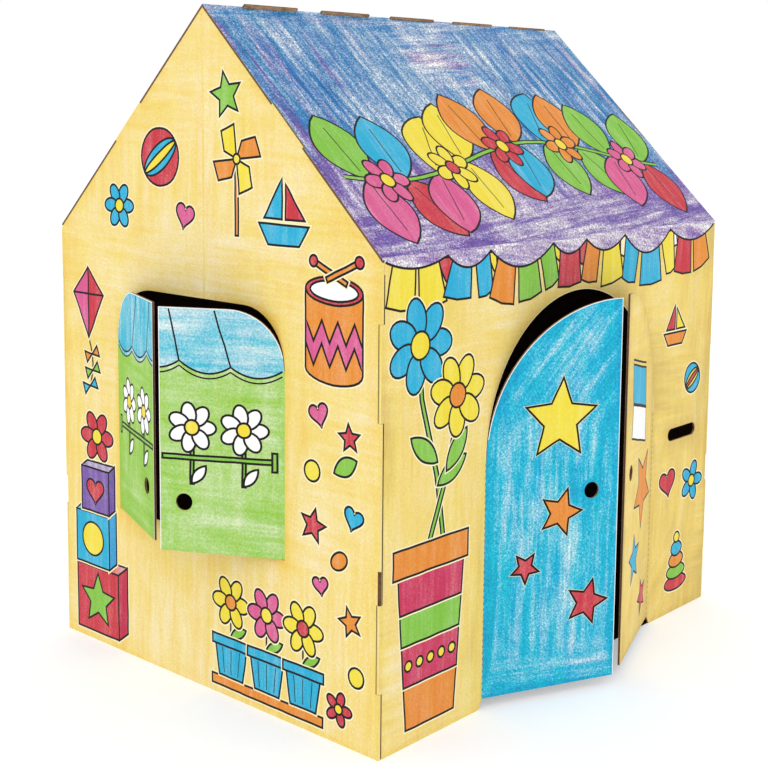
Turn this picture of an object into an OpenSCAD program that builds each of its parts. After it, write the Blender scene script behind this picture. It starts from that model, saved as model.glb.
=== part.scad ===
// Cardboard playhouse: four sheets of corrugated board that hook into each other without glue.
// A long sheet is a wall folded over into a roof slope, and a gable closes each end.
// The doors and shutters are leaves of their own sheets, swung out on half-cut creases.

/* [House] */
// Length over the two gables, along the ridge
house_length = 1040; // [900:10:1300]
// Width over the front and back walls
house_depth = 840; // [700:10:1000]
// Height of the fold between a wall and its roof slope
eave_height = 815; // [780:5:950]
// Height of the ridge
ridge_height = 1220; // [1120:5:1350]

/* [Board] */
// Thickness of the corrugated board
board = 4; // [3:0.5:8]
// Inner radius of the fold at each eave
eave_radius = 2; // [1:0.5:6]
// Board left uncut along the creases on which the leaves swing
crease_web = 1.5; // [1:0.25:3]
// Play round each tab and between sheets that meet
play = 0.4; // [0.2:0.1:1.2]
// Width of the blade's cut round a leaf
blade_cut = 1.5; // [0.5:0.5:4]
// Width of the scored line down the middle of a gable
score_width = 5; // [2:0.5:10]
// Depth of the scored line
score_depth = 1; // [0.5:0.25:2]

/* [Doorway] */
// Width between the creases of the two door leaves
door_width = 544; // [440:1:580]
// Distance of the doorway's middle to the right of the wall's middle
door_offset = 22; // [-40:1:40]
// Top of the arch above the floor
door_top = 717; // [640:1:740]
// Height of the leaves' lower edges above the floor
door_lift = 18; // [6:1:60]
// Width cut off the foot of each jamb, below the crease
jamb_cut = 10; // [4:1:30]
// Opening angle of the left leaf
left_door_angle = 24; // [5:1:70]
// Opening angle of the right leaf
right_door_angle = 21; // [5:1:70]

/* [Window] */
// Width between the creases of the two shutters
window_width = 450; // [320:1:540]
// Distance of the window's middle from the ridge, towards the back wall
window_offset = 22; // [-40:1:40]
// Height of the window's lower edge above the floor
window_sill = 284; // [200:1:380]
// Height of the window's upper edge above the floor
window_top = 711; // [600:1:750]
// Radius of the window's upper corners
window_corner = 100; // [20:1:140]
// Opening angle of the shutter on the back wall's side
back_shutter_angle = 22; // [5:1:70]
// Opening angle of the shutter on the front wall's side
front_shutter_angle = 29; // [5:1:70]

/* [Finger holes] */
// Diameter of the finger hole in each leaf
finger_hole = 30; // [20:1:40]
// Distance of the hole's centre from the free edge of a door leaf
door_hole_inset = 56; // [30:1:90]
// Distance of the hole's centre from the free edge of a shutter
shutter_hole_inset = 44; // [30:1:90]
// Height of the door leaves' holes above the floor
door_hole_level = 371; // [150:1:440]
// Height of the shutters' holes above the sill
shutter_hole_level = 89; // [40:1:240]

/* [Letter slot] */
// Length of the letter slot
letter_length = 109; // [60:1:150]
// Height of the letter slot, which has round ends
letter_gap = 26; // [15:1:40]
// Distance of the slot's centre from the wall's right corner
letter_inset = 110; // [95:1:150]
// Height of the slot's centre above the floor
letter_level = 383; // [340:1:500]

/* [Corner tabs] */
// Level of the lower tabs' lower edge
low_tab_level = 111; // [60:1:180]
// Height of the lower tabs
low_tab_height = 148; // [80:1:180]
// Room above each lower tab, in which the wall is hooked in
low_tab_room = 56; // [0:1:80]
// Level of the upper tabs' lower edge
high_tab_level = 555; // [450:1:600]
// Height of the upper tabs
high_tab_height = 157; // [80:1:170]

/* [Roof tabs] */
// Length of the tab on each slope of a gable
gable_tab_length = 100; // [60:1:160]
// Length of a tab along the ridge
ridge_tab_length = 130; // [60:1:160]
// Distance from one ridge tab to the next
ridge_tab_spacing = 194; // [175:1:230]
// Distance of the first ridge tab from the window's end of the roof
ridge_tab_start = 92; // [40:1:120]
// Least distance of the last ridge tab from the other end
ridge_tab_end = 30; // [20:1:100]
// Height of the first ridge tab over the front slope
first_tab_rise = 7; // [2:0.5:12]
// Height of the last ridge tab over the front slope
last_tab_rise = 2; // [1:0.5:12]

/* [Hidden] */
$fn = 96;

wall_yellow = [0.97, 0.86, 0.55];
roof_blue = [0.38, 0.53, 0.80];
leaf_blue = [0.16, 0.68, 0.85];
shutter_green = [0.55, 0.80, 0.42];

// Turns of the sheets round the upright axis
to_front = 0;
to_right = 90;
to_back = 180;
to_left = 270;

half_length = house_length / 2;
half_depth = house_depth / 2;
// A long wall ends against the inner faces of the gables
wall_half = half_length - board - play;
// Cutters run this far past either side of a board
overrun = 2 * board;

pitch = atan2(ridge_height - eave_height, half_depth);
slope_length = norm([half_depth, ridge_height - eave_height]);
// The fold at the eave takes this much of the wall and of the slope
fold_radius = eave_radius + board;
eave_take = fold_radius * tan((90 - pitch) / 2);
fold_steps = 12;
// A gable's slopes lie under the roof board, this far below its upper face
seat_drop = (board + play) / cos(pitch);
// Level up to which a long wall is cut away over the gables
wall_cut_top = eave_height - seat_drop + board * tan(pitch) + play;
// Length over which one slope's board passes the other at the ridge
ridge_set_back = (board * (1 - min(0, cos(2 * pitch))) + play) / sin(2 * pitch);

ridge_tab_run = house_length - ridge_tab_start - ridge_tab_length - ridge_tab_end;
ridge_tab_last = floor(ridge_tab_run / ridge_tab_spacing);
tallest_tab_rise = max(first_tab_rise, last_tab_rise);

door_half = door_width / 2;
door_spring = door_top - door_half;
door_leaf_width = door_half - blade_cut / 2;
window_half = window_width / 2;
shutter_width = window_half - blade_cut / 2;

low_tab_top = low_tab_level + low_tab_height;
high_tab_top = high_tab_level + high_tab_height;

// How far an open leaf stands out from its wall
function leaf_reach(width, angle) = width * sin(angle) - crease_web * (1 - cos(angle));
door_reach = leaf_reach(door_leaf_width, max(left_door_angle, right_door_angle));
shutter_reach = leaf_reach(shutter_width, max(back_shutter_angle, front_shutter_angle));

// Start of a ridge tab along the house, from its middle
function ridge_tab_x(i) = -half_length + ridge_tab_start + i * ridge_tab_spacing;
// The row of ridge tabs sinks evenly from the first to the last
function ridge_tab_rise(i) = first_tab_rise + (last_tab_rise - first_tab_rise) * i / max(1, ridge_tab_last);

// Points of an arc round a centre
function arc(centre, radius, from, to) =
    [for (i = [0 : fold_steps]) let (a = from + (to - from) * i / fold_steps) centre + radius * [cos(a), sin(a)]];

// A point in the section across the house, up the left slope's upper face and a depth below it
function on_slope(along, depth) =
    [-half_depth, eave_height] + along * [cos(pitch), sin(pitch)] + depth * [sin(pitch), -cos(pitch)];

function mirrored(points) = [for (i = [len(points) - 1 : -1 : 0]) [-points[i].x, points[i].y]];

// Moves the house so that the middle of its outer box is the origin
module in_frame() {
    translate([shutter_reach / 2, door_reach / 2, 0]) children();
}

// Stands a flat blank up with its printed face at a distance from the middle of the house
module stand(turn, reach) {
    rotate([90, 0, turn]) translate([0, 0, reach - board]) linear_extrude(board) children();
}

// Cuts a flat outline through a standing sheet
module stand_cut(turn, reach) {
    rotate([90, 0, turn])
        translate([0, 0, reach - board - overrun]) linear_extrude(board + 2 * overrun) children();
}

// A leaf drawn flat from its crease, and swung out on the web that is left there
module leaf(turn, reach, crease, angle) {
    rotate([90, 0, turn])
        translate([crease, 0, reach - crease_web])
            rotate([0, -angle, 0])
                translate([0, 0, crease_web - board]) linear_extrude(board) children();
}

// Two leaves whose creases lie at equal distances from the middle of their opening
module leaf_pair(turn, reach, middle, crease, left_angle, right_angle) {
    leaf(turn, reach, middle - crease, left_angle) children();
    leaf(turn, reach, middle + crease, -right_angle) mirror([1, 0]) children();
}

// Brings what is drawn from the eave line, up the slope and outwards, onto the front slope
module on_front_slope() {
    translate([0, -half_depth, eave_height]) rotate([pitch, 0, 0]) children();
}

// A wall and the roof slope it folds into, at the front of the house
module folded_sheet(upper) {
    fold_centre = [-half_depth + fold_radius, eave_height - eave_take];
    rotate([90, 0, 90])
        linear_extrude(house_length, center = true)
            polygon(concat(
                [[-half_depth, 0]],
                arc(fold_centre, fold_radius, 180, 90 + pitch),
                [on_slope(upper, 0), on_slope(upper, board)],
                arc(fold_centre, eave_radius, 90 + pitch, 180),
                [[-half_depth + board, 0]]
            ));
}

// What is cut from both ends of a long wall to leave its corner tabs
module wall_end_cuts() {
    levels = [[-overrun, low_tab_level], [low_tab_top, high_tab_level], [high_tab_top, wall_cut_top]];
    for (side = [0, 1], level = levels)
        mirror([side, 0])
            translate([wall_half, level[0]]) square([overrun, level[1] - level[0]]);
}

// What is cut from both ends of a slope for the gables' tabs
module gable_tab_notches() {
    for (side = [-1, 1])
        translate([side * half_length, slope_length / 2, 0])
            cube([2 * (board + play), gable_tab_length + 2 * play, 2 * overrun], center = true);
}

module doorway() {
    translate([-door_half, -overrun]) square([door_width, door_spring + overrun]);
    translate([0, door_spring]) circle(d = door_width);
    foot = door_half + jamb_cut;
    right = [[foot, -overrun], [foot, 0], [door_half, door_lift - blade_cut]];
    polygon(concat(right, mirrored(right)));
}

module letter_slot() {
    straight = letter_length - letter_gap;
    translate([half_length - letter_inset, letter_level]) {
        square([straight, letter_gap], center = true);
        for (side = [-1, 1]) translate([side * straight / 2, 0]) circle(d = letter_gap);
    }
}

module door_leaf_blank() {
    difference() {
        intersection() {
            union() {
                square([door_half, door_spring - blade_cut]);
                translate([blade_cut, 0]) square([door_half, door_spring]);
                translate([door_half, door_spring]) circle(r = door_half - blade_cut);
            }
            translate([0, door_lift]) square([door_leaf_width, door_top]);
        }
        translate([door_leaf_width - door_hole_inset, door_hole_level]) circle(d = finger_hole);
    }
}

// The window's outline with its upper corners rounded, set in by a cut all round
module window_outline(cut) {
    width = window_width - 2 * cut;
    corner = window_corner - cut;
    translate([-width / 2, window_sill + cut])
        square([width, window_top - window_corner - window_sill - cut]);
    translate([-width / 2 + corner, window_sill + cut])
        square([width - 2 * corner, window_top - window_sill - 2 * cut]);
    for (side = [-1, 1])
        translate([side * (window_half - window_corner), window_top - window_corner]) circle(r = corner);
}

module shutter_blank() {
    crease_height = window_top - window_corner - window_sill - 2 * blade_cut;
    difference() {
        intersection() {
            union() {
                translate([window_half, 0]) window_outline(blade_cut);
                translate([0, window_sill + blade_cut]) square([window_half, crease_height]);
            }
            square([shutter_width, window_top]);
        }
        translate([shutter_width - shutter_hole_inset, window_sill + shutter_hole_level]) circle(d = finger_hole);
    }
}

// Outline of a gable with its slope tabs, before its corners are notched
module gable_outline() {
    seat = board + play;
    tab_foot = (slope_length - gable_tab_length) / 2;
    tab_head = tab_foot + gable_tab_length;
    left = [
        [-half_depth, 0],
        [-half_depth, eave_height - seat_drop],
        on_slope(tab_foot, seat),
        on_slope(tab_foot, 0),
        on_slope(tab_head, 0),
        on_slope(tab_head, seat),
    ];
    polygon(concat(left, [[0, ridge_height - seat_drop]], mirrored(left)));
}

module gable_blank() {
    difference() {
        gable_outline();
        for (side = [0, 1], level = [[low_tab_level, low_tab_top + low_tab_room], [high_tab_level, high_tab_top]])
            mirror([side, 0])
                translate([half_depth - board - play, level[0] - play])
                    square([overrun, level[1] - level[0] + 2 * play]);
    }
}

// The line that lets a gable fold in half for packing, pressed into its printed face
module score_line(turn) {
    rotate([90, 0, turn])
        translate([0, 0, half_length])
            rotate([-90, 0, 0])
                linear_extrude(2 * ridge_height, center = true)
                    polygon([[-score_width, -score_depth], [score_width, -score_depth], [0, score_depth]]);
}

module front_sheet() {
    in_frame() {
        color(wall_yellow) difference() {
            folded_sheet(slope_length);
            stand_cut(to_front, half_depth) {
                wall_end_cuts();
                translate([door_offset, 0]) doorway();
                letter_slot();
            }
            on_front_slope() {
                gable_tab_notches();
                for (i = [0 : ridge_tab_last])
                    translate([ridge_tab_x(i) - play, slope_length - ridge_set_back, -overrun])
                        cube([ridge_tab_length + 2 * play, 2 * ridge_set_back, 2 * overrun]);
            }
        }
        color(leaf_blue)
            leaf_pair(to_front, half_depth, door_offset, door_half, left_door_angle, right_door_angle)
                door_leaf_blank();
    }
}

// What is cut from the back slope's upper edge to leave the ridge tabs, seen from the back
module ridge_tab_cuts() {
    foot = slope_length - ridge_set_back;
    cut_height = ridge_set_back + tallest_tab_rise + overrun;
    for (i = [0 : ridge_tab_last])
        translate([-ridge_tab_x(i) - ridge_tab_length, slope_length + ridge_tab_rise(i), -overrun])
            cube([ridge_tab_length, cut_height, 2 * overrun]);
    starts = concat([-half_length - overrun], [for (i = [0 : ridge_tab_last]) ridge_tab_x(i) + ridge_tab_length]);
    ends = concat([for (i = [0 : ridge_tab_last]) ridge_tab_x(i)], [half_length + overrun]);
    for (i = [0 : ridge_tab_last + 1])
        translate([-ends[i], foot, -overrun]) cube([ends[i] - starts[i], cut_height, 2 * overrun]);
}

module back_sheet() {
    in_frame() color(roof_blue) rotate(to_back) difference() {
        folded_sheet(slope_length + tallest_tab_rise + board);
        stand_cut(to_front, half_depth) wall_end_cuts();
        on_front_slope() {
            gable_tab_notches();
            ridge_tab_cuts();
        }
    }
}

module window_gable() {
    in_frame() {
        color(wall_yellow) difference() {
            stand(to_left, half_length) difference() {
                gable_blank();
                translate([-window_offset, 0]) window_outline(0);
            }
            score_line(to_left);
        }
        color(shutter_green)
            leaf_pair(to_left, half_length, -window_offset, window_half, back_shutter_angle, front_shutter_angle)
                shutter_blank();
    }
}

module plain_gable() {
    in_frame() color(wall_yellow) difference() {
        stand(to_right, half_length) gable_blank();
        score_line(to_right);
    }
}

front_sheet();
back_sheet();
window_gable();
plain_gable();
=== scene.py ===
# %% [markdown]
# # A cardboard playhouse, coloured in with crayons
# The house is four sheets of corrugated board. The shapes of the sheets come ready from the imported model,
# so this lesson gives them what a model in plain solids lacks: crayon on the white outer liner, black
# drawn lines, brown kraft inside, and flutes in the cut edges.

# %% Load the imported house
import math
from dataclasses import dataclass, replace

import bmesh
import bpy
import numpy as np
from mathutils import Matrix, Vector, noise
from mathutils.geometry import delaunay_2d_cdt


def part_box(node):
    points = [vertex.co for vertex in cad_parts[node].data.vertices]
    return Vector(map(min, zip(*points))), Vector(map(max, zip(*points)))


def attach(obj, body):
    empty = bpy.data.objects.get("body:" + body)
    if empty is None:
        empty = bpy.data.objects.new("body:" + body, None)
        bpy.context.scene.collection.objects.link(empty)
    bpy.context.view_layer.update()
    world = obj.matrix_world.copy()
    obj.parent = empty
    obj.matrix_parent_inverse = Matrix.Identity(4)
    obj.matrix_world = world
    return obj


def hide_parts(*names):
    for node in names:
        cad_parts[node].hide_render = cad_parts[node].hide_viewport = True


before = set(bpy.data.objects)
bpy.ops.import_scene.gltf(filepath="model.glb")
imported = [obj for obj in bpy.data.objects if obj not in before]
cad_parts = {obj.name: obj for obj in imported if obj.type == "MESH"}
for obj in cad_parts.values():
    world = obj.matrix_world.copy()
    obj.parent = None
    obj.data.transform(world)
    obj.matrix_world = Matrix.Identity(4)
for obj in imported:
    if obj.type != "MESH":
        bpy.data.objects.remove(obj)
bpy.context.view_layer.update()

sheet_low, sheet_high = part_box("front_sheet")
gable_low, gable_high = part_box("plain_gable")
middle = Vector(((sheet_low.x + sheet_high.x) / 2, (gable_low.y + gable_high.y) / 2, 0))
half_length = (sheet_high.x - sheet_low.x) / 2
half_depth = (gable_high.y - gable_low.y) / 2
board = gable_high.x - gable_low.x
eave = 0.815
print("house", round(2 * half_length, 3), "long,", round(2 * half_depth, 3), "deep, board", round(board, 4))

# %% [markdown]
# ## The camera
# The house stands with one corner towards us, seen from about the height of its eaves. A long lens keeps
# the walls nearly upright. The numbers come from lining up the corners of the house with a picture of it:
# the focal length and the middle row are in points of that picture. A small move of the lens, called
# shift, keeps upright edges upright, as architects' cameras do.

# %% Set up the camera
picture = 768
sensor = 36
focal_length = 1390.2
centre_row = 270
eye = middle + Vector((-2.103, -1.847, 1.0544))
swing, tilt, roll = (math.radians(a) for a in (-48.033, 6.854, 0.497))


def placed(name, data):
    """A new object in the scene."""
    made = bpy.data.objects.new(name, data)
    bpy.context.scene.collection.objects.link(made)
    return made


back = Vector((math.sin(swing) * math.cos(tilt), -math.cos(swing) * math.cos(tilt), math.sin(tilt)))
level = (-back).cross(Vector((0, 0, 1))).normalized()
upright = level.cross(-back)
right = level * math.cos(roll) + upright * math.sin(roll)
upward = -level * math.sin(roll) + upright * math.cos(roll)

camera = placed("camera", bpy.data.cameras.new("camera"))
camera.data.sensor_width = sensor
camera.data.lens = focal_length * sensor / picture
camera.data.shift_y = (centre_row - picture / 2) / picture
camera.matrix_world = Matrix.Translation(eye) @ Matrix((right, upward, back)).transposed().to_4x4()
bpy.context.scene.camera = camera
print("camera lens", round(camera.data.lens, 1), "mm, shift", round(camera.data.shift_y, 3))

# %% [markdown]
# ## Floor and light
# The picture is a bright studio shot on white. A white world lights everything evenly, and a weak, very
# soft sun from the left gives the walls a little difference in tone. The floor is a trace bluish and
# glows a little, which evens out the coloured light that the walls throw on it and keeps it nearly white.
# A dark plane of painted shade lies just over it inside the house, so the gaps round the doors and
# shutters look deep. It steps back behind the left door, because there its edge would show under the
# leaf. The Standard view transform shows colours as they are mixed, which suits print and crayon better
# than a film look.


# %% Make the floor and the lights
def put(tree, kind, inputs=None, **settings):
    """Adds a node. Each input is either a value or another node's socket."""
    made = tree.nodes.new(kind)
    for name, value in settings.items():
        setattr(made, name, value)
    for key, value in (inputs or {}).items():
        if isinstance(value, bpy.types.NodeSocket):
            tree.links.new(value, made.inputs[key])
        else:
            made.inputs[key].default_value = value
    return made


def out(tree, kind, inputs=None, **settings):
    """Adds a node and gives its first output."""
    return put(tree, kind, inputs, **settings).outputs[0]


def mixed(tree, share, *colours, blend="MIX"):
    """Mixes two colours, each of them a socket or red, green and blue."""
    first, second = (c if isinstance(c, bpy.types.NodeSocket) else (*c, 1.0) for c in colours)
    inputs = {0: share, 6: first, 7: second}
    return put(tree, "ShaderNodeMix", inputs, data_type="RGBA", blend_type=blend).outputs[2]


def new_finish(name):
    """An empty node material, with its tree."""
    material = bpy.data.materials.new(name)
    material.use_nodes = True
    material.node_tree.nodes.clear()
    return material, material.node_tree


def finish_with(tree, **inputs):
    """Ends a material's tree in one Principled shader."""
    shader = out(tree, "ShaderNodeBsdfPrincipled", {k.replace("_", " "): v for k, v in inputs.items()})
    put(tree, "ShaderNodeOutputMaterial", {"Surface": shader})


glow_colour = (0.95, 0.97, 1.0, 1.0)


def stage_plane(name, corners, colours, glow):
    """One flat face of the stage, softly mottled between two colours."""
    mesh = bpy.data.meshes.new(name)
    mesh.from_pydata(corners, [], [range(len(corners))])
    finish, tree = new_finish(name + "_finish")
    mottle = out(tree, "ShaderNodeTexNoise", {"Scale": 3.0, "Detail": 2.0})
    lit = {"Emission Color": glow_colour, "Emission Strength": glow}
    matt = {"Roughness": 0.9, "Specular IOR Level": 0.1}
    finish_with(tree, Base_Color=mixed(tree, mottle, *colours), **matt, **lit)
    mesh.materials.append(finish)
    placed(name, mesh)


floor_reach = 30
floor_colours = ((0.7, 0.71, 0.73), (0.72, 0.73, 0.745))
floor_corners = [(x * floor_reach, y * floor_reach, 0) for x, y in ((-1, -1), (1, -1), (1, 1), (-1, 1))]
stage_plane("floor", floor_corners, floor_colours, glow=0.4)

# painted shade: a dark plane over the floor inside the house, so the gaps look deep
shade_height = 0.0004
shade_colours = ((0.012, 0.01, 0.009), (0.016, 0.013, 0.012))
shade_x, shade_y = half_length - board / 2, half_depth - board / 2
sill_end, sill_depth = -0.06, 0.055
shade_outline = (
    (-shade_x, sill_depth - shade_y),
    (sill_end, sill_depth - shade_y),
    (sill_end, -shade_y),
    (shade_x, -shade_y),
    (shade_x, shade_y),
    (-shade_x, shade_y),
)
shade_corners = [(middle.x + x, middle.y + y, shade_height) for x, y in shade_outline]
stage_plane("shade_under_house", shade_corners, shade_colours, glow=0.0)

world = bpy.data.worlds.new("white_studio")
world.use_nodes = True
world.node_tree.nodes["Background"].inputs["Color"].default_value = (1, 1, 1, 1)
world.node_tree.nodes["Background"].inputs["Strength"].default_value = 1.0
bpy.context.scene.world = world
bpy.context.scene.view_settings.view_transform = "Standard"

sun_way = Vector((0.8, 0.06, -0.6))
lamp = placed("soft_sun", bpy.data.lights.new("soft_sun", "SUN"))
lamp.data.energy = 0.2
lamp.data.angle = math.radians(60)
lamp.rotation_euler = sun_way.to_track_quat("-Z", "Y").to_euler()
print("floor, white world and one soft sun")

# %% [markdown]
# ## Crayon
# Wax crayon covers paper unevenly. It takes on the high spots of the grain, lies in strokes, and two
# colours often cross. A picture of crayon could be painted, but nodes do it at any size. They need a
# little arithmetic first, so these helpers add up noises, soften a change and turn screen colours into
# the linear values that a shader takes.


# %% Prepare the arithmetic of a finish
def linear(red, green, blue):
    """A colour given in screen values of 0 to 255, as the shader needs it."""
    shares = (v / 255 for v in (red, green, blue))
    return tuple(s / 12.92 if s < 0.04045 else ((s + 0.055) / 1.055) ** 2.4 for s in shares)


def maths(tree, operation, *values):
    """A Math node on one to three values."""
    return out(tree, "ShaderNodeMath", dict(enumerate(values)), operation=operation)


def times(tree, a, b):
    return maths(tree, "MULTIPLY", a, b)


def sum_of(tree, start, *pairs):
    """Adds (socket, factor) products to a start, each taken from the middle of its 0 to 1 range."""
    total = start
    for socket, factor in pairs:
        total = maths(tree, "MULTIPLY_ADD", maths(tree, "SUBTRACT", socket, 0.5), factor, total)
    return total


def eased(tree, value, low, high):
    """0 below low, 1 above high and smooth between them."""
    inputs = {"Value": value, "From Min": low, "From Max": high}
    return out(tree, "ShaderNodeMapRange", inputs, interpolation_type="SMOOTHSTEP")


def stepped(tree, value, low, high):
    """Turns a range of 0 to 1 into another."""
    return out(tree, "ShaderNodeMapRange", {"Value": value, "To Min": low, "To Max": high})


def relief_of(tree, height, strength):
    """Shades a surface as if it had a height of a fraction of a millimetre."""
    return out(tree, "ShaderNodeBump", {"Strength": strength, "Distance": 0.0004, "Height": height})


white_liner = linear(252, 249, 240)
print("white liner in linear values", [round(v, 3) for v in white_liner])

# %% [markdown]
# Long, thin noises make the fine and the broad strokes, a fine one the paper's grain, and a soft one the
# pressure of the hand. Everything that differs from one coloured field to the next is an attribute of the
# mesh, so one material serves the whole house: `pigment` and `second` are the two colours, `turn` is the
# direction of the strokes, `bite` is how rough they look, and `lay` holds the amount of wax, the share of
# the second colour and how much the strokes are crossed, or how much they are slanted where that is below
# zero.

# %% Make the crayon finish
stroke_scale = (10.0, 165.0, 1.0)
broad_stroke_scale = (5.0, 54.0, 1.0)
second_stroke_scale = (4.0, 46.0, 1.0)
drift_scale = (4.0, 52.0, 1.0)
grain_scale = 300.0
grain_turn = (0.5, 0.3, 0.7)
hand_scale = 9.0
slant = 0.7
stroke_part, broad_part, grain_part, hand_part = 0.75, 1.6, 0.6, 0.9
even_grain_part = 0.3
streak_part = 2.8
hue_drift = 0.09
deepest = 0.5
speckle_part = -6.0


def crayon_finish():
    material, tree = new_finish("crayon_on_white_liner")
    sheet = out(tree, "ShaderNodeUVMap", uv_map="sheet")

    def read(name):
        return put(tree, "ShaderNodeAttribute", attribute_name=name).outputs

    def strokes(extra_turn, scale, seed):
        angle = maths(tree, "ADD", read("turn")["Fac"], extra_turn)
        spin = {"Vector": sheet, "Angle": angle}
        turned = out(tree, "ShaderNodeVectorRotate", spin, rotation_type="Z_AXIS")
        drawn = out(tree, "ShaderNodeMapping", {"Vector": turned, "Location": seed, "Scale": scale})
        inputs = {"Vector": drawn, "Scale": 1.0, "Detail": 3.0, "Roughness": 0.6, "Distortion": 0.4}
        return out(tree, "ShaderNodeTexNoise", inputs)

    def specks(scale):
        turned = out(tree, "ShaderNodeMapping", {"Vector": sheet, "Rotation": grain_turn})
        inputs = {"Vector": turned, "Scale": scale, "Detail": 2.0, "Roughness": 0.75, "Distortion": 0.6}
        return out(tree, "ShaderNodeTexNoise", inputs)

    load, share, crossed = put(tree, "ShaderNodeSeparateXYZ", {0: read("lay")["Vector"]}).outputs
    bite = read("bite")["Fac"]
    slanted = times(tree, crossed, -1.0)

    def crossing_strokes(tilt, scale, seed, cross_seed):
        """Strokes along a field, turned across it where it is crossed and aslant where that is below zero."""
        along = strokes(tilt, scale, seed)
        across = strokes(math.pi / 2 + tilt, scale, cross_seed)
        aslant = strokes(slant + tilt, scale, seed)
        level = out(tree, "ShaderNodeMix", {0: crossed, 2: along, 3: across})
        return out(tree, "ShaderNodeMix", {0: slanted, 2: level, 3: aslant})

    stroke = crossing_strokes(0.0, stroke_scale, (0.0, 0.0, 0.0), (3.1, 5.7, 0.0))
    broad = crossing_strokes(0.03, broad_stroke_scale, (7.7, 2.2, 0.0), (4.2, 8.8, 0.0))
    grain = specks(grain_scale)
    hand = specks(hand_scale)
    parts = ((stroke, stroke_part), (broad, broad_part), (grain, grain_part), (hand, hand_part))
    rough = sum_of(tree, load, *((socket, times(tree, bite, part)) for socket, part in parts))
    press = sum_of(tree, rough, (grain, even_grain_part))
    cover = eased(tree, press, 0.05, 1.0)

    streak = crossing_strokes(0.1, second_stroke_scale, (1.3, 9.2, 0.0), (6.4, 3.5, 0.0))
    tone = eased(tree, sum_of(tree, share, (streak, times(tree, bite, streak_part))), 0.2, 0.85)
    wax = mixed(tree, tone, read("pigment")["Color"], read("second")["Color"])
    drift = strokes(-0.05, drift_scale, (2.6, 4.9, 0.0))
    hue = sum_of(tree, 0.5, (drift, times(tree, bite, hue_drift)))
    wax = out(tree, "ShaderNodeHueSaturation", {"Hue": hue, "Color": wax})
    heavy = times(tree, eased(tree, press, 0.8, 1.4), deepest)
    deep = mixed(tree, heavy, wax, wax, blend="MULTIPLY")
    laid = mixed(tree, cover, white_liner, deep)

    coarse = times(tree, bite, bite)
    speckle = sum_of(tree, 1.0, (grain, times(tree, times(tree, coarse, coarse), speckle_part)))
    colour = out(tree, "ShaderNodeVectorMath", {0: laid, "Scale": speckle}, operation="SCALE")
    sheen = stepped(tree, cover, 0.85, 0.6)
    relief = relief_of(tree, grain, 0.25)
    finish_with(tree, Base_Color=colour, Roughness=sheen, Specular_IOR_Level=0.25, Normal=relief)
    return material


crayon = crayon_finish()
print("crayon finish with", len(crayon.node_tree.nodes), "nodes")

# %% [markdown]
# ## Kraft board
# Inside, and in every cut, the board is brown kraft paper: long fibres, darker specks and a dull surface.
# In a cut edge of single-wall board there are two liners with hollow flutes between them. The attribute
# `depth` says how far a point lies behind the printed face, so the same material can paint shade into the
# hollows and leave the liners. The liner that faces the room gets painted shade too, a darker brown below
# the ridge, so the gaps round the doors look deep.

# %% Make the kraft finishes
kraft_pale = linear(190, 152, 112)
kraft_dark = linear(146, 110, 80)
# the colour of the darker specks, and of the painted shade in the hollows of the cut edges
kraft_speck_and_hollow_shade = linear(104, 78, 60)
# painted shade: darker browns for the faces that look into the room
room_shade_dark = linear(66, 47, 36)
room_shade_pale = linear(80, 58, 44)
fibre_scale = (60.0, 60.0, 420.0)
liner_share = 0.12
liner_blend = 0.05
room_shade_top, room_shade_fade = 1.16, 0.04


def kraft_colour(tree):
    """Brown paper with fibres and specks, and the fibres by themselves."""
    place = put(tree, "ShaderNodeTexCoord").outputs["Object"]
    stretched = out(tree, "ShaderNodeMapping", {"Vector": place, "Scale": fibre_scale})
    fibres = out(tree, "ShaderNodeTexNoise", {"Vector": stretched, "Scale": 1.0, "Detail": 4.0})
    cloudy = out(tree, "ShaderNodeTexNoise", {"Vector": place, "Scale": 14.0, "Detail": 3.0})
    dots = out(tree, "ShaderNodeTexVoronoi", {"Vector": place, "Scale": 160.0})
    tone = sum_of(tree, 0.5, (fibres, 2.2), (cloudy, 1.2))
    paper = mixed(tree, eased(tree, tone, 0.2, 0.8), kraft_dark, kraft_pale)
    return mixed(tree, eased(tree, dots, 0.02, 0.1), kraft_speck_and_hollow_shade, paper), fibres


def kraft_finish():
    """Kraft liners and painted shade in the hollows of the cuts, and painted shade, a darker brown, on the
    faces that look into the room.
    """
    material, tree = new_finish("kraft_board")
    paper, fibres = kraft_colour(tree)
    depth = put(tree, "ShaderNodeAttribute", attribute_name="depth").outputs["Fac"]
    layer = maths(tree, "PINGPONG", times(tree, depth, 1 / board), 0.5)
    # painted shade: the hollow between the liners of a cut is darker brown
    hollow = eased(tree, layer, liner_share, liner_share + liner_blend)
    edge = mixed(tree, hollow, paper, kraft_speck_and_hollow_shade)
    inner = eased(tree, depth, 0.985 * board, 0.999 * board)
    place = put(tree, "ShaderNodeTexCoord").outputs["Object"]
    height = put(tree, "ShaderNodeSeparateXYZ", {0: place}).outputs["Z"]
    # painted shade: the faces that look into the room, below the ridge, take the darker browns
    room_shade = times(tree, inner, eased(tree, height, room_shade_top + room_shade_fade, room_shade_top))
    shaded = mixed(tree, eased(tree, fibres, 0.3, 0.7), room_shade_dark, room_shade_pale)
    colour = mixed(tree, room_shade, edge, shaded)
    relief = relief_of(tree, fibres, 0.3)
    finish_with(tree, Base_Color=colour, Roughness=0.85, Specular_IOR_Level=0.2, Normal=relief)
    return material


def flute_finish():
    material, tree = new_finish("kraft_flutes")
    paper, fibres = kraft_colour(tree)
    finish_with(tree, Base_Color=paper, Roughness=stepped(tree, fibres, 0.7, 0.95), Specular_IOR_Level=0.2)
    return material


kraft = kraft_finish()
fluting = flute_finish()
print("kraft finishes", kraft.name, fluting.name)

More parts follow.
